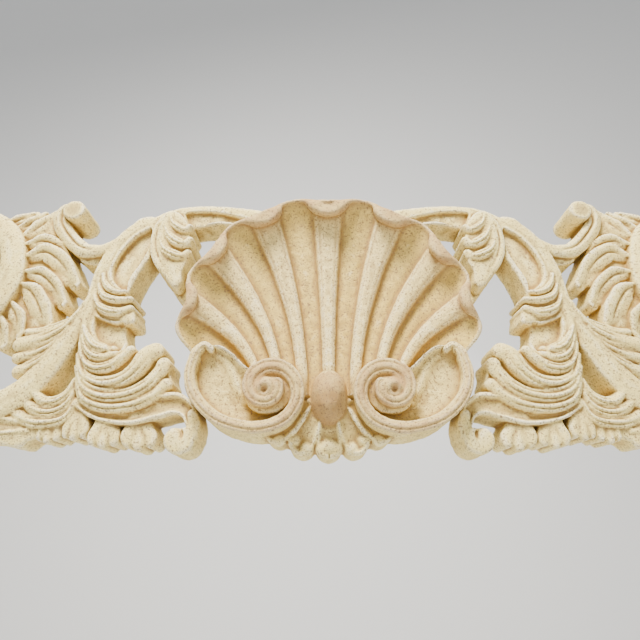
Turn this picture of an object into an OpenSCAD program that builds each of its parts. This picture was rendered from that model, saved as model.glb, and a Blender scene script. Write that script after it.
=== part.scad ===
// Pediment section: a shell cartouche between two acanthus wings, cast in one piece.
// X runs along the wings, Z is up, the flat back lies on y = 0 and the face looks towards -Y.

/* [Overall] */
// Half of the length, from the middle of the shell to a cut end
half_length = 610; // [600:1:620]
// How far the branches stand out from the back
branch_depth = 60; // [50:1:70]
// How far the lowest leaves stand out from the back
leaf_depth = 48; // [40:1:56]

/* [Shell] */
// Distance from the middle of the shell to its rim, at the top
shell_radius = 227; // [215:1:240]
// How far the rim stands out from the back at the ribs
rim_depth = 118; // [105:1:125]
// How far the middle of the bowl stands out from the back
bowl_depth = 62; // [50:1:75]
// How much the rim runs in and out between ribs and flutes
ruffle = 9; // [6:1:18]
// Thickness of the rolled lip at each rib
lip_thickness = 17; // [10:1:20]
// Thickness of the rim between the lips
rim_thickness = 8; // [6:1:12]
// Ribs on each side of the middle rib
side_ribs = 3; // [3:1:3]

/* [Scrolls under the shell] */
// How far the rolled edge of the scrolls stands out
scroll_depth = 104; // [95:1:112]
// How far the eye of each volute stands out
volute_depth = 112; // [100:1:118]
// Half width of the rolled edge
scroll_roll = 9; // [6:1:11]
// Depth of the dish inside each scroll
dish_depth = 74; // [60:1:85]
// Half width of the egg between the volutes
egg_half_width = 28; // [22:1:32]
// Half height of the egg
egg_half_height = 42; // [34:1:48]

/* [Wings] */
// Half width of the raised edges on the hollow branches
edge_half_width = 6; // [4:0.5:8]
// How far the floor of a hollow branch lies below its edges
hollow = 12; // [6:1:18]
// How far the ridges of the leaves stand above the leaf
ridge = 8; // [4:1:12]

/* [Hidden] */

// Steps between two neighbouring ribs, and from the base of the shell to its rim
steps_per_rib = 6;
shell_rows = 6;
shell_ends = side_ribs + 0.9;
// The shell is solid down to the back up to this part of its height
solid_part = 0.6;
post_sides = 8;
// How much narrower a stroke is on top than on the back
taper = 0.7;

// ---- curves ----

// A point on the smooth curve through four neighbours, t from 0 to 1
function passing(a, b, c, d, t) =
    b + (c - a) * t / 2 + (a - b * 2.5 + c * 2 - d / 2) * t * t + (d - a + (b - c) * 3) * t * t * t / 2;

// The smooth curve through a list of values, at place p from 0 to the last index
function along(list, p) =
    let (last = len(list) - 1, i = min(floor(p), last - 1), t = p - i)
    passing(list[max(i - 1, 0)], list[i], list[i + 1], list[min(i + 2, last)], t);

// Straight interpolation in a list, at fraction f from 0 to 1
function part_way(list, f) =
    let (p = f * (len(list) - 1), i = floor(p), j = min(i + 1, len(list) - 1))
    list[i] + (list[j] - list[i]) * (p - i);

// ---- strokes: slabs that stand on the back, one behind the other along a curve ----

module post(at, half_width, height) {
    translate([at.x, at.y, 0])
        cylinder(h = height, r1 = half_width, r2 = half_width * taper, $fn = post_sides);
}

// Direction of a curve at place p
function heading(points, p) =
    let (last = len(points) - 1,
         d = along(points, min(p + 0.02, last)) - along(points, max(p - 0.02, 0)))
    d / norm(d);

// Cross-section of a stroke: wide on the back, narrower on top
function gate(at, way, half_width, height) =
    let (side = [-way.y, way.x] * half_width, top = side * taper)
    [[at.x - side.x, at.y - side.y, 0], [at.x + side.x, at.y + side.y, 0],
     [at.x + top.x, at.y + top.y, height], [at.x - top.x, at.y - top.y, height]];

// A rounded end: a narrower gate a little further on, forwards (1) or backwards (-1)
function end_gate(points, p, half_width, height, sense) =
    let (way = heading(points, p))
    gate(along(points, p) + way * sense * half_width * 0.75, way, half_width * 0.5, height * 0.97);

module slab(a, b) {
    hull() polyhedron(points = concat(a, b), faces = [[0, 1, 2, 3], [4, 5, 6, 7]]);
}

// Points are places on the face, widths and heights run evenly from the first to the last point
module stroke(points, widths, heights, steps) {
    last = len(points) - 1;
    gates = concat(
        [end_gate(points, 0, widths[0], heights[0], -1)],
        [for (k = [0 : steps]) let (p = last * k / steps, f = k / steps)
            gate(along(points, p), heading(points, p), part_way(widths, f), part_way(heights, f))],
        [end_gate(points, last, part_way(widths, 1), part_way(heights, 1), 1)]);
    for (k = [0 : len(gates) - 2])
        slab(gates[k], gates[k + 1]);
}

// A spiral of turns round a centre, from an outer radius to an inner one
function spiral(centre, start, turns, r0, r1, n) =
    [for (k = [0 : n])
        let (f = k / n, r = r0 * pow(r1 / r0, f), a = start + 360 * turns * f)
        centre + [r * cos(a), r * sin(a)]];

module both_sides() {
    children();
    mirror([1, 0, 0]) children();
}

// ---- shell ----

// Place of a rib (whole numbers) or flute (halves) on the rim, in the face
function fan_angle(s) = 30.5 * s - 1.15 * s * s;
function rim_radius(s) = shell_radius + 10 * s - 2.6 * s * s - ruffle * cos(360 * s);
function rim_place(s) = rim_radius(s) * [sin(fan_angle(s)), cos(fan_angle(s))];
function rim_height(s) = rim_depth - 7 + 7 * cos(360 * s) - 1.5 * s;
function thickness(s) =
    rim_thickness + (lip_thickness - rim_thickness) * pow((1 + cos(360 * s)) / 2, 2);

// The line of a rib, from the base upwards and then out to the rim, as a Bezier curve
function base_place(s) = [45 * s - 3 * s * s, -75 - 3 * s * s];
function rise(s) = [0.6 * s, 95 - 4 * s * s];
function leave_angle(s) = 28 * s - 1.2 * s * s;
function bezier(a, b, c, d, u) =
    a * pow(1 - u, 3) + b * 3 * u * pow(1 - u, 2) + c * 3 * u * u * (1 - u) + d * u * u * u;
function rib_place(s, u) =
    bezier(base_place(s), base_place(s) + rise(s),
           rim_place(s) - 60 * [sin(leave_angle(s)), cos(leave_angle(s))], rim_place(s), u);

// The bowl sinks from the base to the middle, then climbs to the rim, steepest at the ribs
function bowl(u) = bowl_depth + 22 * pow(1 - u, 2);
function climb(s) = 4.5 + 1.5 * cos(360 * s);
function flute(s, u) = (2 + 6 * u) * cos(360 * s) * (1 - pow(u, 6));
function rib_height(s, u) =
    bowl(u) + flute(s, u) + (rim_height(s) - bowl_depth) * pow(u, climb(s));

// Front and back of the shell at one place
function front(s, u) =
    let (side = sign(s), q = abs(s), at = rib_place(q, u))
    [side < 0 ? -at.x : at.x, at.y, rib_height(q, u)];
function outward(s) = [sin(leave_angle(abs(s))) * (s < 0 ? -1 : 1), cos(leave_angle(abs(s)))];
function back(s, u) =
    let (f = front(s, u), t = thickness(s), lift = max(0, (u - solid_part) / (1 - solid_part)))
    [f.x + outward(s).x * t * lift, f.y + outward(s).y * t * lift, (f.z - t * 0.7) * pow(lift, 1.5)];

module shell() {
    columns = 2 * shell_ends * steps_per_rib;
    rows = shell_rows;
    places = [for (i = [0 : columns]) -shell_ends + i / steps_per_rib];
    fractions = [for (j = [0 : rows]) 1 - pow(1 - j / rows, 1.6)];
    faces_out = [for (s = places) for (u = fractions) front(s, u)];
    faces_in = [for (s = places) for (u = fractions) back(s, u)];
    n = len(places);
    m = len(fractions);
    half = n * m;
    quads = concat(
        [for (i = [0 : n - 2]) for (j = [0 : m - 2])
            [i * m + j, (i + 1) * m + j, (i + 1) * m + j + 1, i * m + j + 1]],
        [for (i = [0 : n - 2]) for (j = [0 : m - 2])
            [half + i * m + j, half + i * m + j + 1, half + (i + 1) * m + j + 1, half + (i + 1) * m + j]],
        [for (i = [0 : n - 2]) [i * m, half + i * m, half + (i + 1) * m, (i + 1) * m]],
        [for (i = [0 : n - 2]) let (a = i * m + m - 1) [a, a + m, half + a + m, half + a]],
        [for (j = [0 : m - 2]) [j, j + 1, half + j + 1, half + j]],
        [for (j = [0 : m - 2]) let (a = (n - 1) * m + j) [a, half + a, half + a + 1, a + 1]]);
    color("wheat")
        polyhedron(points = concat(faces_out, faces_in),
                   faces = [for (q = quads) each [[q[0], q[2], q[1]], [q[0], q[3], q[2]]]]);
}

// ---- scrolls, egg and beard under the shell ----

eye = [91, -109];

module scroll() {
    edge = [[186, -38], [203, -52], [210, -88], [198, -121], [165, -151], [122, -165]];
    curl = spiral(eye, -62, -1.45, 62, 15, 8);
    color("wheat") {
        // dish inside the rolled edge
        hull() {
            post([202, -64], 14, dish_depth - 4);
            post([196, -124], 16, dish_depth);
            post([130, -158], 20, dish_depth);
            post([96, -112], 46, dish_depth);
            post([150, -50], 16, dish_depth - 8);
        }
        stroke(edge, [scroll_roll, scroll_roll + 2], [scroll_depth - 10, scroll_depth], 5);
        stroke(curl, [scroll_roll + 2, scroll_roll, 8, 8], [scroll_depth, scroll_depth, volute_depth], 8);
    }
}

// Solid ground behind the egg, between the volutes and the shell
module core() {
    color("wheat")
        hull()
            both_sides() {
                post([70, -60], 20, bowl_depth);
                post([60, -150], 20, bowl_depth - 4);
            }
}

module egg() {
    color("rosybrown")
        hull()
            for (k = [0 : 4])
                let (a = 18 * k)
                translate([0, -116, 0])
                    scale([egg_half_width * cos(a), egg_half_height * cos(a), 1])
                        cylinder(h = 82 + 26 * sin(a), r = 1, $fn = 12);
}

module beard() {
    color("wheat") {
        hull() {
            post([0, -110], 60, 62);
            both_sides() post([62, -158], 20, 50);
        }
        for (k = [-2 : 2])
            let (x = 40 * k, z = -190 + 5.5 * k * k)
                stroke([[0.25 * x, -128], [0.6 * x, -160], [x, z]], [12, 17, 15], [84, 74, 60], 2);
    }
}

// ---- wings ----

// A branch with a hollow face between two raised edges
module hollow_band(points, widths, heights, steps) {
    stroke(points, widths, [for (h = heights) h - hollow], steps);
}

module branch() {
    color("wheat") {
        hollow_band([[140, 224], [200, 234], [250, 230], [298, 206], [325, 170]],
                    [20, 20, 22, 26], [branch_depth], 5);
        stroke([[120, 234], [175, 244], [232, 246], [290, 230], [345, 200], [388, 166]],
               [edge_half_width + 2], [branch_depth], 5);
        stroke([[170, 208], [205, 212], [245, 198]], [edge_half_width], [branch_depth - 6], 2);
        hollow_band([[325, 196], [352, 160], [368, 110], [374, 60], [366, 10], [352, -40]],
                    [30, 36, 36, 34, 32, 34], [branch_depth], 5);
        stroke([[345, 196], [380, 158], [390, 110], [396, 62], [402, 20], [396, -30], [384, -90]],
               [12, 14, 13, 11, 8, 8], [branch_depth + 2], 6);
        stroke([[302, 140], [330, 110], [343, 68], [337, 16]],
               [edge_half_width + 1], [branch_depth - 2], 3);
    }
}

module clasp() {
    color("wheat") {
        stroke([[296, 226], [306, 190], [300, 146], [280, 112], [258, 88]],
               [14, 16, 15, 12, 8], [branch_depth + 12, branch_depth + 14, branch_depth + 2], 4);
        // the tip of a leaf that looks out from behind the shell
        stroke([[236, 108], [262, 98], [262, 74]], [12, 12, 8], [branch_depth * 0.55], 2);
        for (k = [0 : 2])
            stroke([[284 - 4 * k, 218 - 30 * k], [266 - 2 * k, 188 - 28 * k], [252, 158 - 20 * k]],
                   [14, 12, 8], [branch_depth + ridge, branch_depth + 4, branch_depth - 4], 2);
    }
}

// Small leaves that wrap round the main branch, each a few nested ridges
module collars() {
    color("wheat")
        for (top = [72, 6])
            for (k = [0 : 1])
                stroke([[393, top - 20 * k], [378, top - 30 - 18 * k], [352, top - 38 - 18 * k],
                        [333, top - 30 - 20 * k]],
                       [8, 10, 9], [branch_depth + 2, branch_depth + 8, branch_depth - 4], 3);
}

module acanthus() {
    lobes = [[[394, -14], [374, -46], [346, -52], [322, -42]],
             [[395, -44], [366, -78], [320, -82], [287, -50]],
             [[394, -74], [358, -108], [308, -110], [267, -82]]];
    color("wheat") {
        hull() {
            post([376, -60], 22, leaf_depth);
            post([334, -60], 22, leaf_depth);
            post([300, -110], 34, leaf_depth);
            post([376, -116], 26, leaf_depth);
        }
        for (k = [0 : 2])
            stroke(lobes[k], [8, 15, 16, 15], [branch_depth, branch_depth + ridge - 2 * k,
                   branch_depth + ridge - 2 * k, branch_depth - 4], 3);
    }
}

module low_scroll() {
    color("wheat") {
        stroke([[390, -118], [340, -142], [290, -140], [236, -118], [208, -134], [203, -164]],
               [14, 14, 16, 17, 12, 9], [branch_depth - 4, branch_depth, branch_depth + 8], 5);
        stroke(spiral([222, -176], 20, -0.8, 18, 8, 6), [9, 11], [branch_depth + 8], 6);
    }
}

module scallops() {
    tips = [[288, -166], [338, -166], [388, -158], [430, -160]];
    color("wheat")
        for (tip = tips)
            stroke([[tip.x + (350 - tip.x) * 0.25, -128], tip], [20, 21], [leaf_depth, leaf_depth + 4], 1);
}

module low_leaf() {
    color("wheat") {
        for (k = [0 : 2])
            stroke([[396 - 4 * k, -86 - 20 * k], [412, -116 - 14 * k], [446 + 6 * k, -124 - 14 * k],
                    [474 + 14 * k, -104 - 10 * k]],
                   [8, 11, 12, 10], [branch_depth - 2, branch_depth + 2, branch_depth - 4], 3);
        hull() {
            post([420, -138], 20, leaf_depth);
            post([500, -132], 24, leaf_depth);
            post([470, -160], 24, leaf_depth - 8);
        }
    }
}

module limb() {
    color("wheat") {
        stroke([[404, 70], [412, 20], [436, -34], [464, -84], [506, -122], [560, -140], [640, -150]],
               [10, 16, 20, 22, 24, 26], [branch_depth], 6);
        for (k = [0 : 1])
            stroke([[424 + 14 * k, 18 - 40 * k], [456 + 8 * k, -12 - 34 * k], [500 - 14 * k, -24 - 38 * k]],
                   [12, 16, 13], [branch_depth, branch_depth + 4, branch_depth - 8], 3);
    }
}

module small_volute() {
    color("wheat") {
        stroke([[388, 166], [414, 154], [448, 162], [478, 188], [494, 222], [486, 246]],
               [12, 12, 14, 14, 13, 12], [branch_depth - 4, branch_depth, branch_depth + 6], 5);
        translate([467, 236, 0]) cylinder(h = branch_depth + 14, r = 20, $fn = 12);
        stroke([[410, 146], [440, 142]], [9], [branch_depth - 16], 1);
    }
}

// A scroll band that runs on past the cut end, with leaf lobes round its outside
module outer_roundel() {
    color("wheat") {
        stroke([[640, 230], [592, 206], [556, 170], [540, 112], [550, 56], [590, 10], [640, -6]],
               [19, 20, 20], [branch_depth + 6, branch_depth + 12, branch_depth + 4], 5);
        stroke([[640, 196], [596, 160], [584, 108], [600, 56], [640, 34]], [26], [leaf_depth - 8], 3);
        for (lobe = [[[598, 214], [566, 222], [550, 238]], [[570, 196], [534, 212], [522, 236]],
                     [[540, 180], [506, 168], [474, 150]], [[530, 136], [484, 130], [446, 94]],
                     [[528, 100], [492, 86], [464, 62]], [[540, 64], [506, 48], [484, 12]],
                     [[572, 36], [546, 14], [536, -26]]])
            stroke(lobe, [20, 22, 12], [branch_depth + 2, branch_depth, branch_depth - 6], 2);
    }
}

module wing() {
    branch();
    clasp();
    collars();
    acanthus();
    low_scroll();
    scallops();
    low_leaf();
    limb();
    small_volute();
    outer_roundel();
}

module pediment() {
    rotate([90, 0, 0])
        intersection() {
            union() {
                shell();
                core();
                egg();
                beard();
                both_sides() {
                    scroll();
                    wing();
                }
            }
            translate([-half_length, -300, 0]) cube([2 * half_length, 600, 200]);
        }
}

pediment();
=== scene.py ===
import math

import bmesh
import bpy
import numpy as np
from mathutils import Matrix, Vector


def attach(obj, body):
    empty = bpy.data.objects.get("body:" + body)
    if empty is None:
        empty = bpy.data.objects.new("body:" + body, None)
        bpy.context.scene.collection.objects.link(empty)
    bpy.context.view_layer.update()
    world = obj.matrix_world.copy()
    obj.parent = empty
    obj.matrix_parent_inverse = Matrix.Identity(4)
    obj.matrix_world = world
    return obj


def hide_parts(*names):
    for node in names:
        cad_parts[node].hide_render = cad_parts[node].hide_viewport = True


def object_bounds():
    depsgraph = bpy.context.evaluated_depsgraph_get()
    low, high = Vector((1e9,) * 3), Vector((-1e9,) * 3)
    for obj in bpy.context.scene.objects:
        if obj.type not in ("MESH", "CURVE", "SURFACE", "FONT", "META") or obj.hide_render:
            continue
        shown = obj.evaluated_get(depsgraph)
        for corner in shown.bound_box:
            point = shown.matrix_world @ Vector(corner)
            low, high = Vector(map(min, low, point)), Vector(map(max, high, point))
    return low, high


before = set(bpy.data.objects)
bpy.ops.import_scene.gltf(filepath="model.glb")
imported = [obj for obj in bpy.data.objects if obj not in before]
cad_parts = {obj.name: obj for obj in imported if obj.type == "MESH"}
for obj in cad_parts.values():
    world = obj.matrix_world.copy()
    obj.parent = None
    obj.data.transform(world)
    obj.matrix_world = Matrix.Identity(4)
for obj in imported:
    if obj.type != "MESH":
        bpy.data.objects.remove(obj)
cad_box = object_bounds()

import openvdb
from mathutils import Vector
from mathutils.kdtree import KDTree

# The casting is modelled as a field of distances on a grid: x to the right, z up and d out from
# the flat back, all in millimetres. One half is built, mirrored, turned into a mesh and thinned out.
# Points are (x, z), widths are half widths, and heights are measured from the back.

MM = 0.001
HALF_LENGTH = cad_box[1][0] / MM
VOXEL = 1.5
TRIANGLES = 196000
LOW = np.array([-6 * VOXEL, -222.0, -4.0])
HIGH = np.array([HALF_LENGTH + 3, 264.0, 126.0])
FAR = 40.0      # the field's value well away from the stone
SOFT = 2.2      # how round the edges of a form are
MELT = 1.6      # how softly one form runs into the next
MARGIN = 10.0   # room left around a form, for its soft edges

size = np.ceil((HIGH - LOW) / VOXEL).astype(int) + 1
xs, zs, ds = [LOW[i] + VOXEL * np.arange(size[i]) for i in range(3)]
body = np.full(size, FAR, np.float32)
dents = np.zeros(size[:2], np.float32)


# ---- curves and fields ----

def smooth_curve(points, per_span=8):
    """Points on the smooth curve through the given ones, and how far along each lies, from 0 to 1."""
    p = np.array(points, float)
    p = np.vstack([2 * p[0] - p[1], p, 2 * p[-1] - p[-2]])
    curve = []
    for a, b, c, d in zip(p[:-3], p[1:-2], p[2:-1], p[3:]):
        for t in np.arange(per_span) / per_span:
            curve.append(b + (c - a) * t / 2 + (a - 2.5 * b + 2 * c - d / 2) * t ** 2
                         + (d - a + 3 * (b - c)) * t ** 3 / 2)
    curve.append(p[-2])
    return np.array(curve), np.linspace(0, 1, len(curve))


def evenly(values, f):
    """Values spread evenly from 0 to 1, read at f."""
    values = np.atleast_1d(np.array(values, float))
    return np.interp(f, np.linspace(0, 1, len(values)), values)


def rounder(a, b, k):
    """The larger of two fields, rounded where they cross."""
    h = np.clip(0.5 + 0.5 * (a - b) / k, 0, 1)
    return b + (a - b) * h + k * h * (1 - h)


def melted(a, b, k):
    """The smaller of two fields, filled where they cross."""
    return -rounder(-a, -b, k)


def window(low, high, margin=MARGIN):
    """Slices of the grid that hold a region of the face, and its coordinates."""
    first = [int(np.clip(np.floor((low[k] - margin - LOW[k]) / VOXEL), 0, size[k])) for k in (0, 1)]
    last = [int(np.clip(np.ceil((high[k] + margin - LOW[k]) / VOXEL) + 1, 0, size[k])) for k in (0, 1)]
    part = (slice(first[0], last[0]), slice(first[1], last[1]))
    grid_x, grid_z = np.meshgrid(xs[part[0]], zs[part[1]], indexing="ij")
    return part, grid_x, grid_z


def nearest(grid_x, grid_z, line, along):
    """Distance to a line, the side it lies on, and how far along the line the nearest point is."""
    best = np.full(grid_x.shape, 1e9)
    side = np.zeros(grid_x.shape)
    place = np.zeros(grid_x.shape)
    for a, b, fa, fb in zip(line[:-1], line[1:], along[:-1], along[1:]):
        step = b - a
        length = max(np.hypot(*step), 1e-6)
        ax, az = grid_x - a[0], grid_z - a[1]
        t = np.clip((ax * step[0] + az * step[1]) / length ** 2, 0, 1)
        gap = np.hypot(ax - t * step[0], az - t * step[1])
        better = gap < best
        best = np.where(better, gap, best)
        side = np.where(better, np.sign(step[0] * az - step[1] * ax), side)
        place = np.where(better, fa + t * (fb - fa), place)
    return best, side, place


def join(part, field, melt=MELT):
    """Add a form to the body, inside its window of the grid."""
    block = body[part[0], part[1], :]
    body[part[0], part[1], :] = melted(block, field.astype(np.float32), melt)


def press(part, depths):
    """Press a form's depths into the face, where nothing deeper is pressed in already."""
    dents[part] = np.maximum(dents[part], depths)


# ---- sections of a stroke ----
# How far the face lies below its full height, at q across the stroke (-1 to 1) and f along it (0 to 1).

VEIN_PLACES = (-0.375, 0.375)
VEIN_WIDTH = 0.12
VEIN_DEPTH = 3.5


def dome(crown):
    """Rounded: the sides lie lower than the middle by the crown."""
    return lambda q, f: crown * q * q


def trough(sink, edge=0.74, crown=3.0):
    """Hollow between two raised edges; the hollow begins just past the start of the stroke."""
    def section(q, f):
        floor = np.clip(1 - (np.abs(q) / edge) ** 3, 0, 1)
        return sink * floor * np.clip(12 * f, 0, 1) + crown * np.clip(np.abs(q) - edge, 0, 1) / (1 - edge)
    return section


def veined(crown):
    """A rounded strand of a leaf with two creases along it, which fade out at its ends."""
    def section(q, f):
        cut = sum(np.exp(-((q - place) / VEIN_WIDTH) ** 2) for place in VEIN_PLACES)
        return crown * q * q + VEIN_DEPTH * cut * np.sin(np.pi * np.clip(f * 1.15, 0, 1))
    return section


def stroke(points, widths, heights, section=dome(5), soft=SOFT, melt=MELT):
    """A form that follows a curve on the face and stands on the back."""
    line, along = smooth_curve(points)
    reach = max(np.atleast_1d(widths))
    part, gx, gz = window(line.min(0) - reach, line.max(0) + reach)
    gap, side, f = nearest(gx, gz, line, along)
    half = evenly(widths, f)
    q = np.clip(gap * side / half, -1, 1)
    height = evenly(heights, f) - section(q, f)
    outline = (gap - half)[:, :, None]
    join(part, rounder(outline, ds[None, None, :] - height[:, :, None], soft), melt)


def groove(points, width, depth):
    """A line pressed into whatever face lies under it."""
    line, along = smooth_curve(points)
    part, gx, gz = window(line.min(0) - width, line.max(0) + width)
    gap, _, f = nearest(gx, gz, line, along)
    fade = np.sin(np.pi * np.clip(f * 0.94 + 0.03, 0, 1)) ** 0.6
    press(part, depth * fade * np.exp(-(gap / width) ** 2))


def hole(x, z, radius, depth):
    """A small soft hollow."""
    part, gx, gz = window((x - radius, z - radius), (x + radius, z + radius))
    press(part, depth * np.exp(-(np.hypot(gx - x, gz - z) / radius) ** 2))


def bead(x, z, d, radius, melt=MELT):
    """A ball at a depth d."""
    part, gx, gz = window((x - radius, z - radius), (x + radius, z + radius))
    rise = ds[None, None, :] - d
    away = np.sqrt(((gx - x) ** 2 + (gz - z) ** 2)[:, :, None] + rise ** 2)
    join(part, away - radius, melt)


def outlined(points):
    """Signed distance to a closed smooth outline, negative inside, with its window of the grid."""
    line, along = smooth_curve(list(points) + [points[0]], 6)
    part, gx, gz = window(line.min(0), line.max(0))
    gap = nearest(gx, gz, line, along)[0]
    inside = np.zeros(gx.shape, bool)
    for (ax, az), (bx, bz) in zip(line[:-1], line[1:]):
        crosses = (az > gz) != (bz > gz)
        with np.errstate(divide="ignore", invalid="ignore"):
            at = ax + (gz - az) / (bz - az) * (bx - ax)
        inside ^= crosses & (gx < at)
    return part, gx, gz, np.where(inside, -gap, gap)


def leaf(points, height, swell=7.0, spread=9.0, tilt=(0, 0), melt=MELT):
    """A form with a lobed outline, whose face swells away from its edge.

    It may lean by the tilt, in millimetres for each 100 mm to the right and upwards.
    """
    part, gx, gz, edge = outlined(points)
    middle = np.mean(points, 0)
    top = (height - swell * np.exp(np.minimum(edge, 0) / spread)
           + tilt[0] * (gx - middle[0]) / 100 + tilt[1] * (gz - middle[1]) / 100)
    join(part, rounder(edge[:, :, None], ds[None, None, :] - top[:, :, None], SOFT), melt)


def sunk(points, depth, slope=3.0):
    """A panel let into the face, with a crisp edge."""
    part, gx, gz, edge = outlined(points)
    t = np.clip(-edge / slope, 0, 1)
    press(part, depth * t * t * (3 - 2 * t))


def bar_along(path, radii):
    """Field of a round bar along a path in space (x, z and depth)."""
    bar = np.full(size, FAR, np.float32)
    for a, b, ra, rb in zip(path[:-1], path[1:], radii[:-1], radii[1:]):
        reach = max(ra, rb)
        part, gx, gz = window(np.minimum(a, b)[:2] - reach, np.maximum(a, b)[:2] + reach, MARGIN / 2)
        off = np.stack(np.broadcast_arrays(gx[..., None] - a[0], gz[..., None] - a[1], ds - a[2]), -1)
        step = b - a
        t = np.clip(off @ step / (step @ step), 0, 1)
        gap = np.linalg.norm(off - t[..., None] * step, axis=-1) - (ra + t * (rb - ra))
        bar[part] = np.minimum(bar[part], gap)
    return bar


# ---- shell ----

SHELL_RADIUS = 227.0        # reach of the middle rib, before the ruffle
RUFFLE = 8.0                # how far the rim swings out in a flute and in at a rib
RIM_DEPTH = 108.0           # height of the rim from the back, midway between rib and flute
BOWL_DEPTH = 60.0           # height of the bowl's floor
BASE_RISE = 22.0            # how much higher the floor starts at the base
RIB_PITCH = 43.0            # distance between ribs at the base
BASE_Z = -116.0
LAST_FLUTE = 3.5
SHELL_END = 4.0
LIP_FACE = 113.0            # height of the lips' flat faces
SHELL_WALL = 5.0            # thickness of the shell behind the rim
THIN, THICK = 2.8, 13.0     # half the thickness of the rim, in a flute and at a rib
LINE_DEPTH = 2.2            # depth of the fine lines beside the ribs


def rib_place(s, u):
    """Place on the face of rib s (halves are flutes), from the base at u = 0 to the rim at u = 1.

    A rib is one smooth span from its base to the rim. The way it points at the rim is returned too.
    """
    fan = np.radians(30.5 * s - 1.15 * s * s)
    radius = SHELL_RADIUS + 10 * s - 2.6 * s * s - RUFFLE * np.cos(2 * np.pi * s)
    leave = np.radians(28 * s - 1.2 * s * s)
    base = np.stack([RIB_PITCH * s - 2.7 * s * s, np.full_like(s, BASE_Z)], -1)
    rim = np.stack([radius * np.sin(fan), radius * np.cos(fan)], -1)
    rising = base + np.stack([0.6 * s, 125 - 6.5 * s * s], -1)
    away = np.stack([np.sin(leave), np.cos(leave)], -1)
    turning = rim - 60 * away
    v = u[..., None]
    place = (base * (1 - v) ** 3 + 3 * rising * v * (1 - v) ** 2 + 3 * turning * v * v * (1 - v)
             + rim * v ** 3)
    return place, away


def to_crown(s):
    """How far a place lies from the middle of its rib, from 0 to the 0.5 of a flute."""
    level = np.minimum(np.abs(s), LAST_FLUTE)
    # the middle of a flute goes with the rib before it
    return np.abs(level - np.round(level - 1e-6))


def rib_shape(s):
    """1 on the crown of a rib, 0 in a flute, with firm shoulders."""
    return 0.5 + 0.5 * np.tanh((0.23 - to_crown(s)) / 0.05)


def rib_lines(s):
    """Fine grooves beside each rib."""
    off = to_crown(s)
    return np.exp(-((off - 0.25) / 0.03) ** 2) + 0.6 * np.exp(-((off - 0.15) / 0.022) ** 2)


def rim_depth(s):
    """Height of the rim, which stands higher at the ribs and drops at the two ends of the shell."""
    q = np.abs(s)
    last = np.clip((q - LAST_FLUTE) / (SHELL_END - LAST_FLUTE), 0, 1)
    return RIM_DEPTH + 6 * np.cos(2 * np.pi * to_crown(s)) - 1.5 * q - 26 * last ** 1.5


def shell_front(s, u):
    """Points (x, z, height) on the shell's face."""
    q = np.abs(s)
    place = rib_place(q, u)[0]
    bowl = BOWL_DEPTH + BASE_RISE * (1 - u) ** 2
    climb = 4.4 + 1.4 * np.cos(2 * np.pi * to_crown(q))
    carve = (8.0 + 9.0 * np.sin(np.pi * np.clip(u, 0, 1) * 0.85)) * (1 - u ** 10)
    crown = 2.4 * np.cos(np.pi * np.clip(to_crown(q) / 0.4, 0, 0.5))
    depth = bowl + (rim_depth(q) - BOWL_DEPTH) * u ** climb + carve * (rib_shape(q) - 0.5) + crown
    depth -= LINE_DEPTH * rib_lines(q) * np.clip(8 * u, 0, 1) * np.clip(7 * (1 - u), 0, 1)
    side = np.stack([np.where(s < 0, -1.0, 1.0), np.ones_like(s)], -1)
    return np.concatenate([place * side, depth[..., None]], -1)


def rim_bar():
    """The rim: thin at the flutes, a thick lip that curls in over the bowl at each rib."""
    s = np.linspace(-0.1, SHELL_END, 150)
    ends, away = rib_place(np.abs(s), np.ones_like(s))
    lip = np.exp(-(to_crown(s) / 0.27) ** 4) * (np.abs(s) < LAST_FLUTE)
    radii = THIN + (THICK * (1 - 0.11 * np.abs(s)) - THIN) * lip
    side = np.stack([np.sign(s + 1e-9), np.ones_like(s)], -1)
    inset = (radii + 0.5 * lip - THIN)[:, None] * away
    depth = rim_depth(s) + 3.5 * lip - 0.9 * radii
    path = np.concatenate([(ends - inset) * side, depth[:, None]], -1)
    # the lips have flat faces
    return rounder(bar_along(path, radii), (ds - LIP_FACE)[None, None, :], 2.0)


def shell_back(face, u):
    """The shell's back: a wall behind the face near the rim, which drops to the flat back further in."""
    normal = np.cross(np.gradient(face, axis=0), np.gradient(face, axis=1))
    normal /= np.linalg.norm(normal, axis=-1, keepdims=True) + 1e-9
    normal *= -np.sign(normal[..., 2:3])
    hidden = face * [1, 1, 0] - [0, 0, 3.0]
    lift = np.clip((u - 0.6) / 0.4, 0, 1)[..., None]
    return hidden + (face + SHELL_WALL * normal - hidden) * lift ** 1.3


def closed_quads(n, m):
    """Quads of a closed surface: a front and a back of n by m points each, joined at their edges."""
    front = np.arange(n * m).reshape(n, m)
    back = front + n * m

    def net(i):
        return np.stack([i[:-1, :-1], i[1:, :-1], i[1:, 1:], i[:-1, 1:]], -1).reshape(-1, 4)

    def strip(edge, other):
        return np.stack([edge[:-1], other[:-1], other[1:], edge[1:]], -1)

    return np.vstack([net(front), net(back)[:, ::-1],
                      strip(front[:, 0], back[:, 0]), strip(front[:, -1], back[:, -1])[:, ::-1],
                      strip(front[0], back[0])[:, ::-1], strip(front[-1], back[-1])])


def shell_mesh():
    """The shell's face and back as a closed surface."""
    steps = 1 - (1 - np.linspace(0, 1, 90)) ** 1.5
    s, u = np.meshgrid(np.linspace(-SHELL_END, SHELL_END, 361), steps, indexing="ij")
    face = shell_front(s + 1e-6, u)
    points = np.vstack([face.reshape(-1, 3), shell_back(face, u).reshape(-1, 3)])
    return points, closed_quads(*s.shape)


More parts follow.
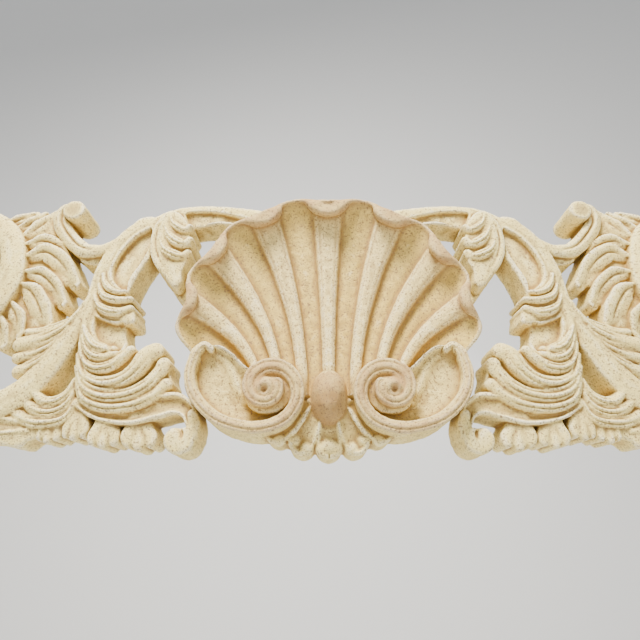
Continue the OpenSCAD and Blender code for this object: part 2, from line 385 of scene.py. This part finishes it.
def add_shell():
    points, faces = shell_mesh()
    band = 4
    shift = openvdb.createLinearTransform(voxelSize=1.0)
    grid = openvdb.FloatGrid.createLevelSetFromPolygons(
        ((points - LOW) / VOXEL).astype(np.float32), quads=faces.astype(np.uint32),
        transform=shift, halfWidth=band)
    block = np.full(size, band, np.float32)
    grid.copyToArray(block, ijk=(0, 0, 0))
    np.copyto(body, melted(body, block * VOXEL, 5.0))
    np.copyto(body, melted(body, rim_bar(), 1.5))


# ---- scrolls, egg and beard ----

EYE = (91, -109)            # middle of a volute
EGG_Z = -116.0
EGG_WIDE, EGG_TALL = 29.0, 43.0
EGG_FOOT, EGG_RISE = 66.0, 42.0
EDGE = [(184, -43), (193, -38), (202, -46), (207, -60), (210, -88), (198, -121), (165, -151), (122, -165)]


def curl(centre, start, turns, r0, r1, n):
    """Points of a spiral that closes quickly at first, then slowly."""
    f = np.arange(n + 1) / n
    angle = np.radians(start + 360 * turns * f)
    radius = r1 + (r0 - r1) * (1 - f) ** 1.5
    return [(centre[0] + r * math.cos(a), centre[1] + r * math.sin(a)) for r, a in zip(radius, angle)]


def add_scroll():
    # the dish
    leaf([(200, -44), (210, -60), (212, -88), (200, -122), (168, -152), (122, -164), (78, -156),
          (54, -122), (66, -84), (120, -76), (150, -50), (176, -36)], 70, -20, 10)
    # the cone under the volute
    leaf([(EYE[0] + 38 * math.cos(a), EYE[1] + 36 * math.sin(a)) for a in np.arange(8) * math.pi / 4],
         98, 7, 12)
    # the soft fold that parts the dish from the last flute
    stroke([(172, -50), (158, -62), (147, -82), (137, -104), (126, -124)], [7, 10, 10, 8],
           [74, 76, 77], dome(8), melt=8)
    path = EDGE + curl(EYE, -90, -1.3, 55, 14, 15)
    widths = [5, 7, 8, 8.5, 9, 9.5, 10, 11, 12.5, 13, 12.5, 11, 10, 10, 10]
    stroke(path, widths, [92, 98, 101, 103, 104, 104, 105, 107, 109, 110, 111], edge_section, soft=3)
    bead(EYE[0] + 1, EYE[1] + 1, 100, 15, 5)
    hole(EYE[0] + 4, EYE[1] - 4, 5, 12)


def edge_section(q, f):
    """The rolled edge: high on its outside, with a fine line inside the crest."""
    return (3 * np.clip(q, 0, 1) ** 2 + 6 * np.clip(-q, 0, 1) ** 2
            + 2.4 * np.exp(-((np.abs(q) - 0.45) / 0.12) ** 2))


def add_egg():
    part, gx, gz = window((-34, -164), (34, -68))
    across = np.sqrt((gx / EGG_WIDE) ** 2 + ((gz - EGG_Z) / EGG_TALL) ** 2)[:, :, None]
    rise = np.clip(ds[None, None, :] - EGG_FOOT, 0, None) / EGG_RISE
    join(part, (np.sqrt(across ** 2 + rise ** 2) - 1) * 26, 1.5)


def add_beard():
    """Petals that fan out below the egg, each ending in two small lobes."""
    fan_z = -118
    leaf([(-60, -100), (60, -100), (84, -148), (90, -170), (70, -181), (40, -189), (0, -192),
          (-40, -189), (-70, -181), (-90, -170), (-84, -148)], 60, 3)
    # the ground between the egg and the volutes
    leaf([(-48, -98), (48, -98), (50, -134), (36, -150), (20, -160), (-20, -160), (-36, -150),
          (-50, -134)], 76, 8, 9, melt=6)
    for k, (x, z) in enumerate(((0, -186), (40, -181), (77, -165))):
        root = (0.38 * x, -126)
        middle = (0.7 * x - k, -156 + 5 * k)
        stroke([root, middle, (x, z)], [7, 14, 20, 20], [80, 79, 75, 66], trough(7, 0.78, 3), melt=2.5)
        outward = np.array([x, z - fan_z]) / math.hypot(x, z - fan_z)
        across = np.array([-outward[1], outward[0]])
        for step in (-11, 11):
            at = np.array([x, z]) + outward * 4 + across * step
            bead(at[0], at[1], 57, 10.5, 4)
    bead(0, -188, 58, 13, 6)


# ---- wings ----

def add_branch():
    """The arch behind the shell and the stem that falls from it, both with sunk floors."""
    stroke([(118, 222), (160, 229), (200, 233), (240, 232), (275, 224), (305, 204), (332, 172)],
           [20, 20, 20, 21, 24, 28, 30], [60], dome(3))
    sunk([(140, 222), (185, 235), (225, 241), (262, 237), (257, 215), (247, 202), (228, 211),
          (205, 217), (180, 216), (155, 210)], 9)
    stroke([(330, 196), (352, 160), (368, 118), (376, 78), (377, 38), (372, 0), (362, -40)],
           [34, 40, 38, 35, 35, 32, 32], [60, 62, 62, 60], dome(4))
    sunk([(322, 204), (346, 187), (367, 154), (377, 118), (373, 94), (358, 78), (346, 72), (345, 92),
          (339, 110), (331, 128), (323, 150), (316, 186)], 12, 2)
    sunk([(391, 26), (388, 0), (378, -18), (362, -26), (350, -40), (337, -34), (333, -10), (340, 14),
          (356, 14), (374, 20)], 11)
    groove([(330, 208), (352, 190), (374, 158), (384, 118), (384, 92)], 1.6, 1.8)
    stroke([(392, 92), (399, 50), (403, 16), (400, -30), (391, -80), (385, -118)],
           [10, 9, 8, 7, 7, 6], [63, 64, 64, 60], dome(5))
    stroke([(382, 172), (404, 160), (428, 158)], [12, 11, 12], [58], dome(4))


def strands(items, crown):
    """Creased strands of a leaf, each given by its path, widths and heights."""
    for path, widths, heights in items:
        stroke(path, widths, heights, veined(crown), soft=2, melt=0.8)


def add_clasp():
    leaf([(290, 238), (308, 218), (318, 189), (316, 155), (304, 124), (284, 99), (264, 78), (252, 86),
          (254, 106), (250, 120), (246, 134), (247, 158), (249, 188), (257, 212), (272, 232)], 68, 3, 4)
    strands([([(288, 228), (282, 210), (270, 197), (256, 191), (249, 199)], [4, 7, 8, 6], [68, 77, 74]),
             ([(297, 206), (285, 182), (268, 165), (253, 161), (246, 171)], [4, 9, 10, 7], [68, 80, 74]),
             ([(302, 180), (291, 155), (272, 140), (256, 137), (248, 147)], [4, 9, 10, 7], [68, 78, 70])],
            7)
    groove([(303, 210), (308, 186), (305, 158), (294, 130), (276, 106)], 2, 2.5)
    # the tip of a leaf that looks out from behind the shell
    leaf([(232, 118), (262, 110), (279, 98), (277, 88), (260, 68), (244, 60)], 34, 4)


def add_collars():
    leaf([(398, 90), (384, 72), (362, 60), (344, 58), (332, 44), (326, 30), (324, 16), (338, 12),
          (356, 14), (374, 28), (392, 50)], 62, 5)
    strands([([(390, 104), (383, 86), (371, 73), (357, 68), (346, 70)], [4, 6, 6, 4], [66, 72, 68]),
             ([(394, 84), (383, 64), (365, 54), (346, 53), (334, 56)], [4, 7, 7, 5], [66, 74, 68]),
             ([(397, 64), (387, 44), (369, 33), (350, 32), (334, 40)], [4, 8, 9, 7], [65, 72, 64])], 6)
    groove([(394, 50), (384, 30), (368, 20), (346, 18)], 2.4, 4)
    strands([([(403, 6), (394, -12), (380, -28), (364, -35), (352, -32)], [4, 7, 8, 7], [66, 73, 70]),
             ([(402, -10), (393, -30), (378, -45), (360, -49), (345, -43)], [4, 7, 9, 8], [66, 72, 68])], 6)


def add_acanthus():
    leaf([(404, -12), (380, -30), (346, -40), (320, -40), (296, -32), (272, -38), (258, -58),
          (252, -75), (248, -91), (252, -108), (262, -130), (300, -138), (345, -142),
          (384, -130), (396, -90), (405, -50)], 58, 4)
    strands([([(403, -24), (392, -52), (372, -66), (348, -64), (330, -50), (320, -36)],
              [5, 8, 10, 10, 8], [66, 70, 72, 70]),
             ([(402, -44), (388, -76), (360, -92), (326, -88), (302, -68), (291, -48), (280, -38)],
              [6, 10, 13, 14, 16, 15], [66, 70, 74, 76, 72]),
             ([(400, -64), (384, -96), (352, -111), (314, -109), (284, -94), (267, -72), (264, -60)],
              [6, 9, 12, 12, 12, 12], [66, 68, 70, 70, 68]),
             ([(397, -84), (380, -114), (345, -127), (304, -124), (272, -110), (257, -92)],
              [6, 9, 11, 11, 11, 11], [64, 66, 67, 66])], 8)
    groove([(398, -50), (380, -84), (352, -98), (318, -97), (294, -82), (274, -56)], 2.5, 4)


def add_low_scroll():
    band = [(388, -120), (350, -136), (305, -139), (266, -128), (238, -123), (216, -134), (205, -160)]
    stroke(band, [10, 13, 17, 20, 18, 13, 8], [58, 62, 64, 68], trough(9, 0.7))
    stroke([(208, -140), (204, -156), (206, -172)], [8, 9, 10], [68, 70], dome(4))
    leaf([(201, -160), (199, -178), (205, -193), (220, -200), (236, -196), (245, -183), (243, -168),
          (232, -160), (218, -161)], 71, 3, 4)
    groove([(240, -156), (228, -160), (220, -168), (219, -177)], 3.0, 10)


def scallop(middle, top, bottom, half, lean, height):
    """A flat-faced fan with three soft lobes, wider at the bottom; half is half its width."""
    edge = [(0.74, 0.45), (1.02, 0.70), (0.94, 0.90), (0.64, 0.98), (0.42, 0.93), (0.16, 1.03),
            (-0.14, 1.02), (-0.36, 0.94), (-0.66, 0.98), (-0.98, 0.88), (-1.04, 0.68), (-0.76, 0.45)]
    drop = bottom - top
    outline = [(middle + half * 0.6 + lean, top)]
    outline += [(middle + half * x + lean * (1 - f), top + drop * f) for x, f in edge]
    outline += [(middle - half * 0.6 + lean, top)]
    leaf(outline, height, 4, 4, (6, -4), 1.0)
    for side in (-0.37, 0.4):
        groove([(middle + lean / 2 + 0.3 * side * half, top + 0.55 * drop),
                (middle + 0.8 * side * half, top + 0.76 * drop),
                (middle + side * half, top + 0.95 * drop)], 4.0, 2.2)


def add_scallops():
    for sizes in ((286, -118, -190, 26, 10, 56), (341, -122, -187, 24, 2, 56),
                  (388, -112, -175, 19, -2, 55), (428, -116, -179, 19, -8, 53)):
        scallop(*sizes)


def add_low_leaf():
    leaf([(396, -76), (406, -98), (422, -112), (442, -114), (462, -104), (480, -116), (520, -128),
          (560, -132), (600, -134), (650, -134), (650, -188), (600, -186), (560, -180), (520, -178),
          (490, -184), (470, -187), (456, -176), (440, -172), (412, -164), (390, -160), (372, -140),
          (380, -108)], 52, 4)
    strands([([(400, -84), (408, -106), (424, -118), (444, -118), (460, -106)], [5, 8, 9, 7], [62, 64, 60]),
             ([(397, -100), (408, -124), (430, -134), (456, -130), (476, -116)], [5, 9, 10, 8], [60, 62, 58]),
             ([(392, -116), (406, -142), (434, -150), (466, -146), (494, -128)], [6, 9, 11, 9],
              [58, 60, 56]),
             ([(478, -148), (520, -142), (570, -142), (650, -142)], [8, 10, 12], [56, 58]),
             ([(462, -162), (510, -166), (560, -166), (650, -168)], [8, 12, 16], [54, 56])], 6)


def add_limb():
    stroke([(404, 64), (412, 20), (434, -28), (458, -74), (492, -112), (540, -132), (640, -144)],
           [9, 15, 18, 20, 22, 24, 26], [62, 63, 63, 60], dome(6))
    strands([([(412, 52), (424, 26), (446, 10), (476, 0), (500, 0)], [5, 8, 11, 9], [63, 60, 54]),
             ([(418, 34), (438, 4), (468, -14), (506, -22)], [6, 10, 15, 14], [64, 64, 58]),
             ([(430, 6), (450, -22), (478, -38), (508, -44)], [6, 10, 12, 10], [62, 60, 54]),
             ([(440, -18), (460, -46), (482, -62), (500, -68)], [6, 10, 13, 12], [62, 60, 54])], 7)


def add_small_volute():
    stroke([(420, 158), (440, 160), (466, 180), (488, 208), (495, 232), (485, 247), (466, 248)],
           [12, 14, 15, 14, 12, 10, 7], [58, 59, 61, 63, 64, 64], dome(5))
    groove([(424, 158), (448, 166), (472, 190), (488, 214), (490, 236), (478, 256)], 2.4, 6)
    # the round button that the band curls around
    part, gx, gz = window((440, 205), (500, 262))
    button = (np.hypot(gx - 467, gz - 237) - 20)[:, :, None]
    join(part, rounder(button, (ds - 70)[None, None, :], 4))
    leaf([(392, 160), (444, 154), (448, 146), (438, 138), (410, 134), (396, 142)], 46, 3)


def blade(fall):
    """A strand that lies like a feather: high along one edge, falling to the other."""
    return lambda q, f: fall * (1 - q) / 2 + 2.5 * np.clip(q - 0.6, 0, 1) / 0.4


def add_roundel():
    """Half of a ring with a sunk middle and a fringe of strands; the sawn end cuts it off."""
    leaf([(650, 238), (600, 235), (578, 230), (562, 241), (550, 251), (540, 243), (529, 247),
          (520, 240), (506, 250), (500, 232), (496, 205), (490, 184), (480, 168), (474, 150),
          (484, 142), (472, 130), (456, 112), (450, 96), (462, 88), (474, 88), (464, 66),
          (466, 54), (482, 52), (494, 56), (482, 32), (476, 10), (482, -2), (496, -2), (510, 8),
          (522, -12), (534, -30), (550, -26), (570, -10), (610, -20), (650, -16)], 50, 6, 12)
    for path, widths, heights in (
            ([(592, 212), (572, 226), (554, 240)], [6, 10, 7], [60, 60, 52]),
            ([(566, 202), (546, 220), (530, 240)], [6, 10, 7], [61, 60, 52]),
            ([(548, 188), (530, 212), (510, 242)], [8, 13, 8], [61, 60, 52]),
            ([(536, 168), (514, 176), (490, 166), (472, 148)], [7, 15, 14, 8], [63, 63, 59, 50]),
            ([(530, 142), (504, 152), (474, 132), (446, 94)], [8, 18, 18, 11], [64, 65, 61, 52]),
            ([(524, 108), (502, 106), (478, 86), (460, 56)], [8, 15, 15, 10], [64, 64, 60, 52]),
            ([(526, 82), (510, 72), (490, 42), (476, 8)], [8, 18, 20, 13], [64, 64, 60, 52]),
            ([(542, 50), (526, 28), (520, 0)], [8, 16, 13], [63, 62, 54]),
            ([(560, 30), (548, 8), (542, -18)], [8, 14, 12], [62, 60, 52])):
        stroke(path[::-1], widths[::-1], heights[::-1], blade(10), soft=2, melt=0.8)
        line, along = smooth_curve(path, 4)
        groove(line[1:-2], 2.4, 4)
    stroke([(650, 228), (600, 205), (568, 170), (551, 112), (558, 60), (590, 18), (650, -2)],
           [22, 22, 22, 22], [67, 72, 73, 69], dome(7), soft=3)
    groove([(650, 206), (608, 186), (586, 162), (572, 112), (578, 66), (600, 38), (650, 22)], 1.8, 3.5)
    sunk([(660, 194), (608, 170), (582, 112), (602, 54), (660, 34)], 16, 7)
    stroke([(650, 186), (614, 170), (596, 142), (602, 106), (626, 92), (650, 96)], [10, 10, 9, 8], [62],
           dome(6))


def build_half():
    add_beard()
    add_branch()
    add_collars()
    add_clasp()
    add_acanthus()
    add_low_scroll()
    add_scallops()
    add_low_leaf()
    add_limb()
    add_small_volute()
    add_roundel()
    add_scroll()
    add_shell()
    add_egg()


build_half()


# ---- field to mesh ----

def lumps(shape, cell, seed):
    """Smooth random field with bumps about one cell wide."""
    rng = np.random.default_rng(seed)
    small = rng.standard_normal([int(n * VOXEL / cell) + 3 for n in shape]).astype(np.float32)
    for axis, n in enumerate(shape):
        at = np.arange(n) * VOXEL / cell
        i = at.astype(int)
        t = at - i
        t = (t * t * (3 - 2 * t)).reshape([-1 if k == axis else 1 for k in range(len(shape))])
        small = np.take(small, i, axis) * (1 - t) + np.take(small, i + 1, axis) * t
    return small.astype(np.float32)


def lower(field, by):
    """The field with each column's faces pushed in by its own amount."""
    at = np.arange(size[2])[None, None, :] + by[:, :, None] / VOXEL
    i = np.clip(at.astype(int), 0, size[2] - 2)
    t = at - i
    low = np.take_along_axis(field, i, 2)
    high = np.take_along_axis(field, i + 1, 2)
    return (low * (1 - t) + high * t).astype(np.float32)


def blurred(values, radius):
    """Mean of the values in a box of about this half width around each place."""
    n = max(1, int(radius / VOXEL))
    for axis in range(3):
        padded = np.pad(values, [(n + 1, n) if k == axis else (0, 0) for k in range(3)], mode="edge")
        total = np.cumsum(padded, axis=axis, dtype=np.float64)
        length = values.shape[axis]
        values = ((np.take(total, np.arange(length) + 2 * n + 1, axis)
                   - np.take(total, np.arange(length), axis)) / (2 * n + 1)).astype(np.float32)
    return values


def whole_field():
    """The dented, slightly uneven body with its mirror image, cut at the back and the two ends."""
    field = lower(body, dents)
    field = field + 0.35 * lumps(size, cell=14, seed=3) + 0.22 * lumps(size, cell=5, seed=4)
    middle = int(round(-LOW[0] / VOXEL))
    whole = np.concatenate([field[:middle:-1], field[middle:]], 0)
    start = xs[middle] - VOXEL * (size[0] - 1 - middle)
    full_x = start + VOXEL * np.arange(whole.shape[0])
    ends = (np.abs(full_x) - HALF_LENGTH)[:, None, None]
    cut = np.maximum(ends, -ds[None, None, :]).astype(np.float32)
    return np.maximum(whole, cut), start


def write_values(mesh, name, values):
    """Store one number for each vertex, for the material to read."""
    attribute = mesh.attributes.new(name, "FLOAT", "POINT")
    attribute.data.foreach_set("value", values.astype(np.float32))


def in_metres(points, start):
    """Grid places as points in the frame."""
    place = np.empty_like(points)
    place[:, 0] = (start + points[:, 0] * VOXEL) * MM
    place[:, 2] = (LOW[1] + points[:, 1] * VOXEL) * MM
    place[:, 1] = -np.clip((LOW[2] + points[:, 2] * VOXEL) * MM, 0, None)
    return place


def make_mesh():
    """The surface of the field, marked with how much stone lies near each point."""
    whole, start = whole_field()
    grid = openvdb.FloatGrid()
    grid.background = FAR
    grid.copyFromArray(np.clip(whole, -FAR, FAR), tolerance=0)
    points, triangles, quads = grid.convertToPolygons(isovalue=0.0, adaptivity=0.0)
    mesh = bpy.data.meshes.new("pediment")
    corners = [tuple(t) for t in triangles] + [tuple(q) for q in quads]
    mesh.from_pydata(in_metres(points, start).tolist(), [], corners)
    solid = (whole < 0).astype(np.float32)
    i = np.clip(np.round(points).astype(int), 0, np.array(whole.shape) - 1)
    # these values also drive the painted shade in recesses and the painted highlight on proud edges
    for name, radius in (("fine_cavity", 4.5), ("wide_cavity", 15)):
        write_values(mesh, name, blurred(solid, radius)[i[:, 0], i[:, 1], i[:, 2]])
    return mesh


def finished(name, mesh, modifiers):
    """An object with this mesh, after each modifier is applied to it."""
    piece = bpy.data.objects.new(name, mesh)
    bpy.context.scene.collection.objects.link(piece)
    for kind, settings in modifiers:
        modifier = piece.modifiers.new(kind, kind)
        for key, value in settings.items():
            setattr(modifier, key, value)
        with bpy.context.temp_override(object=piece, active_object=piece, selected_objects=[piece]):
            bpy.ops.object.modifier_apply(modifier=modifier.name)
    return piece


def connected(mesh):
    """A number for each vertex, the same for all vertices that edges join."""
    ends = np.empty(2 * len(mesh.edges), np.int32)
    mesh.edges.foreach_get("vertices", ends)
    a, b = ends.reshape(-1, 2).T
    label = np.arange(len(mesh.vertices))
    while True:
        lowest = label.copy()
        np.minimum.at(lowest, a, label[b])
        np.minimum.at(lowest, b, label[a])
        lowest = lowest[lowest]
        if np.array_equal(lowest, label):
            return label
        label = lowest


def drop_crumbs(mesh):
    """Keep only the largest connected part of a mesh, without faces that have no area."""
    label = connected(mesh)
    largest = np.bincount(label).argmax()
    work = bmesh.new()
    work.from_mesh(mesh)
    crumbs = [vertex for vertex, part in zip(list(work.verts), label) if part != largest]
    bmesh.ops.delete(work, geom=crumbs, context="VERTS")
    bmesh.ops.dissolve_degenerate(work, dist=1e-6, edges=list(work.edges))
    bmesh.ops.triangulate(work, faces=list(work.faces))
    work.to_mesh(mesh)
    work.free()


mesh = make_mesh()
count = sum(len(p.vertices) - 2 for p in mesh.polygons)
piece = finished("pediment_casting", mesh,
                 [("TRIANGULATE", {}), ("DECIMATE", {"ratio": min(1.0, TRIANGLES / count)})])
drop_crumbs(piece.data)
print("triangles", count, "->", len(piece.data.polygons))


def is_carved(polygon):
    """Whether a face is shaded smooth: the flat back and the two sawn ends are not."""
    x, y, z = polygon.center
    on_back = polygon.normal.y > 0.7 and y > -2 * MM
    on_end = abs(polygon.normal.x) > 0.9 and abs(x) > (HALF_LENGTH - 1) * MM
    return not (on_back or on_end)


piece.data.polygons.foreach_set("use_smooth", [is_carved(p) for p in piece.data.polygons])


def mark_ribs(mesh):
    """Note on the mesh where the ribs, the fine lines beside them and the egg lie."""
    s, u = np.meshgrid(np.linspace(-SHELL_END, SHELL_END, 321), np.linspace(0, 1, 80), indexing="ij")
    face = shell_front(s, u).reshape(-1, 3)
    tree = KDTree(len(face))
    for k, point in enumerate(face):
        tree.insert(point, k)
    tree.balance()
    s = s.ravel()
    crown, line = rib_shape(s), rib_lines(s)
    widest, lowest, reach = 260, 50, 5
    marks = np.zeros((4, len(mesh.vertices)), np.float32)
    for k, vertex in enumerate(mesh.vertices):
        x, y, z = vertex.co / MM
        if abs(x) > widest or -y < lowest:
            continue
        found, gap = tree.find((x, z, -y))[1:]
        if gap < reach:
            marks[:3, k] = 1 - gap / reach, crown[found], line[found]
        elif math.hypot(x / EGG_WIDE, (z - EGG_Z) / EGG_TALL) < 1:
            marks[3, k] = 1
    for name, values in zip(("on_shell", "rib_crown", "rib_line", "on_egg"), marks):
        write_values(mesh, name, values)


mark_ribs(piece.data)


# ---- material ----

class Nodes:
    """Short calls for building a node tree."""

    def __init__(self, tree):
        self.tree = tree

    def connect(self, value, socket):
        """Give a socket a plain value or the output of another node."""
        if isinstance(value, bpy.types.NodeSocket):
            self.tree.links.new(value, socket)
        else:
            socket.default_value = value

    def add(self, kind, inputs=None, **settings):
        node = self.tree.nodes.new(kind)
        for key, value in settings.items():
            setattr(node, key, value)
        for key, value in (inputs or {}).items():
            self.connect(value, node.inputs[key])
        return node

    def mark(self, name):
        return self.add("ShaderNodeAttribute", attribute_name=name).outputs["Fac"]

    def noise(self, where, scale, detail=4, roughness=0.55):
        return self.add("ShaderNodeTexNoise", {"Vector": where, "Scale": scale, "Detail": detail,
                                               "Roughness": roughness}).outputs["Fac"]

    def ramp(self, value, low, high, bottom=0.0, top=1.0):
        return self.add("ShaderNodeMapRange", {"Value": value, "From Min": low, "From Max": high,
                                               "To Min": bottom, "To Max": top}).outputs["Result"]

    def math(self, operation, a, b):
        return self.add("ShaderNodeMath", {0: a, 1: b}, operation=operation).outputs[0]

    def times(self, a, b):
        return self.math("MULTIPLY", a, b)

    def tint(self, base, colour, amount):
        """Mix a colour given as screen values into the base."""
        node = self.add("ShaderNodeMix", {"Factor": amount}, data_type="RGBA")
        self.connect(base, node.inputs[6])
        self.connect(paint(*colour), node.inputs[7])
        return node.outputs[2]

    def bump(self, height, strength, distance, **more):
        return self.add("ShaderNodeBump", {"Height": height, "Strength": strength, "Distance": distance,
                                           **more}).outputs["Normal"]


def paint(r, g, b):
    """A screen colour as the renderer's linear one."""
    return tuple(((c / 255 + 0.055) / 1.055) ** 2.4 for c in (r, g, b)) + (1.0,)


def stone_tints(n, where, patch, on):
    """The bare stone: yellow flutes, rubbed pale ribs with grime and painted shade in their fine lines, clean
    wings.
    """
    cloud = n.noise(where, 9, 5)
    colour = n.tint(paint(230, 206, 126), (216, 183, 98), n.ramp(cloud, 0.35, 0.65))
    colour = n.tint(colour, (206, 180, 128), n.ramp(patch, 0.5, 0.72, 0, 0.5))
    colour = n.tint(colour, (222, 190, 92), n.times(on, 0.6))
    colour = n.tint(colour, (231, 208, 140), n.times(n.times(on, n.mark("rib_crown")), 0.75))
    # brown in the fine grooves beside the ribs: partly dust, partly painted shade in the grooves
    dust_and_shade = n.times(n.times(on, n.mark("rib_line")), n.ramp(patch, 0.3, 0.6, 0.45, 0.9))
    colour = n.tint(colour, (142, 110, 72), dust_and_shade)
    wings = n.times(n.math("SUBTRACT", 1.0, on), n.ramp(patch, 0.3, 0.6, 0.35, 0.75))
    return n.tint(colour, (246, 228, 148), wings)


def grime_wear_shade_and_highlight(n, colour, patch):
    """Recesses take brown grime and painted shade; proud edges are rubbed pale and carry a painted highlight.
    """
    fine = n.mark("fine_cavity")
    # dark brown in tight recesses: partly grime, partly painted shade
    grime_and_shade = n.times(n.ramp(fine, 0.49, 0.64), n.ramp(patch, 0.3, 0.6, 0.7, 1.0))
    colour = n.tint(colour, (126, 96, 50), grime_and_shade)
    # painted shade: wide, deep recesses are tinted a darker yellow-brown
    colour = n.tint(colour, (176, 140, 66), n.times(n.ramp(n.mark("wide_cavity"), 0.46, 0.76), 0.8))
    # pale on proud edges: partly wear, partly a painted highlight
    wear_and_highlight = n.times(n.ramp(fine, 0.47, 0.28), n.ramp(patch, 0.35, 0.6, 0.4, 0.9))
    return n.tint(colour, (248, 240, 206), wear_and_highlight)


def stains(n, colour, where, patch):
    """The parts that stand out furthest and the egg are stained pinkish brown, the egg more so."""
    height = n.times(n.add("ShaderNodeSeparateXYZ", {0: where}).outputs["Y"], -1.0)
    egg = n.mark("on_egg")
    proud = n.math("MAXIMUM", n.ramp(height, 0.089, 0.104), egg)
    colour = n.tint(colour, (180, 143, 90), n.times(proud, n.ramp(patch, 0.32, 0.62, 0.4, 0.95)))
    return n.tint(colour, (160, 122, 64), n.times(egg, n.ramp(patch, 0.3, 0.6, 0.3, 0.65)))


def specks(n, colour, where):
    """Dark specks, and a finer grit between them."""
    colour = n.tint(colour, (122, 96, 68), n.ramp(n.noise(where, 330, 2, 0.5), 0.565, 0.65, 0, 0.85))
    return n.tint(colour, (148, 120, 88), n.ramp(n.noise(where, 620, 2, 0.6), 0.48, 0.68, 0, 0.55))


def cast_stone():
    material = bpy.data.materials.new("cast_stone")
    material.use_nodes = True
    n = Nodes(material.node_tree)
    shader = material.node_tree.nodes["Principled BSDF"]
    where = n.add("ShaderNodeTexCoord").outputs["Object"]
    patch = n.noise(where, 28, 6, 0.62)
    colour = stone_tints(n, where, patch, n.ramp(n.mark("on_shell"), 0.0, 0.5))
    # grime and painted shade in recesses, wear and painted highlight on proud edges
    colour = grime_wear_shade_and_highlight(n, colour, patch)
    colour = specks(n, stains(n, colour, where, patch), where)
    grain = n.bump(n.noise(where, 520, 4, 0.7), 0.25, 0.0008)
    pits = n.bump(n.ramp(n.noise(where, 190, 3), 0.6, 0.74, 1, 0), 0.5, 0.0012, Normal=grain)
    n.connect(colour, shader.inputs["Base Color"])
    n.connect(n.ramp(patch, 0.3, 0.7, 0.78, 0.92), shader.inputs["Roughness"])
    n.connect(pits, shader.inputs["Normal"])
    shader.inputs["Specular IOR Level"].default_value = 0.25
    return material


piece.data.materials.append(cast_stone())
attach(piece, "root")
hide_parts("pediment")


# ---- stage, light and camera ----

def matt(name, colour):
    material = bpy.data.materials.new(name)
    material.use_nodes = True
    material.node_tree.nodes["Principled BSDF"].inputs["Base Color"].default_value = colour
    material.node_tree.nodes["Principled BSDF"].inputs["Roughness"].default_value = 0.9
    return material


def sheet(name, corners, material):
    flat = bpy.data.meshes.new(name)
    flat.from_pydata(corners, [], [(0, 1, 2, 3)])
    flat.materials.append(material)
    thing = bpy.data.objects.new(name, flat)
    bpy.context.scene.collection.objects.link(thing)


pale = matt("pale_stage", (0.78, 0.77, 0.74, 1))
FLOOR, WALL, SIDE = -1.3, 2.6, 6.0      # height of the floor, place of the wall, reach of both
sheet("floor", [(-SIDE, -SIDE, FLOOR), (SIDE, -SIDE, FLOOR), (SIDE, WALL, FLOOR), (-SIDE, WALL, FLOOR)],
      pale)
sheet("backdrop", [(-SIDE, WALL, FLOOR), (SIDE, WALL, FLOOR), (SIDE, WALL, SIDE), (-SIDE, WALL, SIDE)],
      pale)


def softbox(name, place, width, power, colour=(1, 1, 1)):
    """A round area light that looks at the middle of the piece."""
    light = bpy.data.lights.new(name, "AREA")
    light.shape = "DISK"
    light.size = width
    light.energy = power
    light.color = colour
    thing = bpy.data.objects.new(name, light)
    thing.location = place
    thing.rotation_euler = (-Vector(place)).to_track_quat("-Z", "Y").to_euler()
    bpy.context.scene.collection.objects.link(thing)


softbox("sky", (-0.5, -1.5, 2.2), 1.0, 290, (1.0, 0.98, 0.95))
softbox("fill", (1.2, -2.4, 0.4), 2.0, 14)
softbox("behind", (0.8, 2.0, 1.8), 1.6, 20)
world = bpy.data.worlds.new("studio")
world.use_nodes = True
world.node_tree.nodes["Background"].inputs["Color"].default_value = (0.92, 0.95, 1.0, 1)
world.node_tree.nodes["Background"].inputs["Strength"].default_value = 0.66
bpy.context.scene.world = world

TILT = math.radians(24)
camera = bpy.data.objects.new("camera", bpy.data.cameras.new("camera"))
camera.data.lens = 26.0
camera.data.sensor_width = 36.0
camera.data.clip_start = 0.01
camera.location = (-0.0135, -0.763, -0.295)
look = Vector((0, math.cos(TILT), math.sin(TILT)))
camera.rotation_euler = look.to_track_quat("-Z", "Y").to_euler()
bpy.context.scene.collection.objects.link(camera)
bpy.context.scene.camera = camera
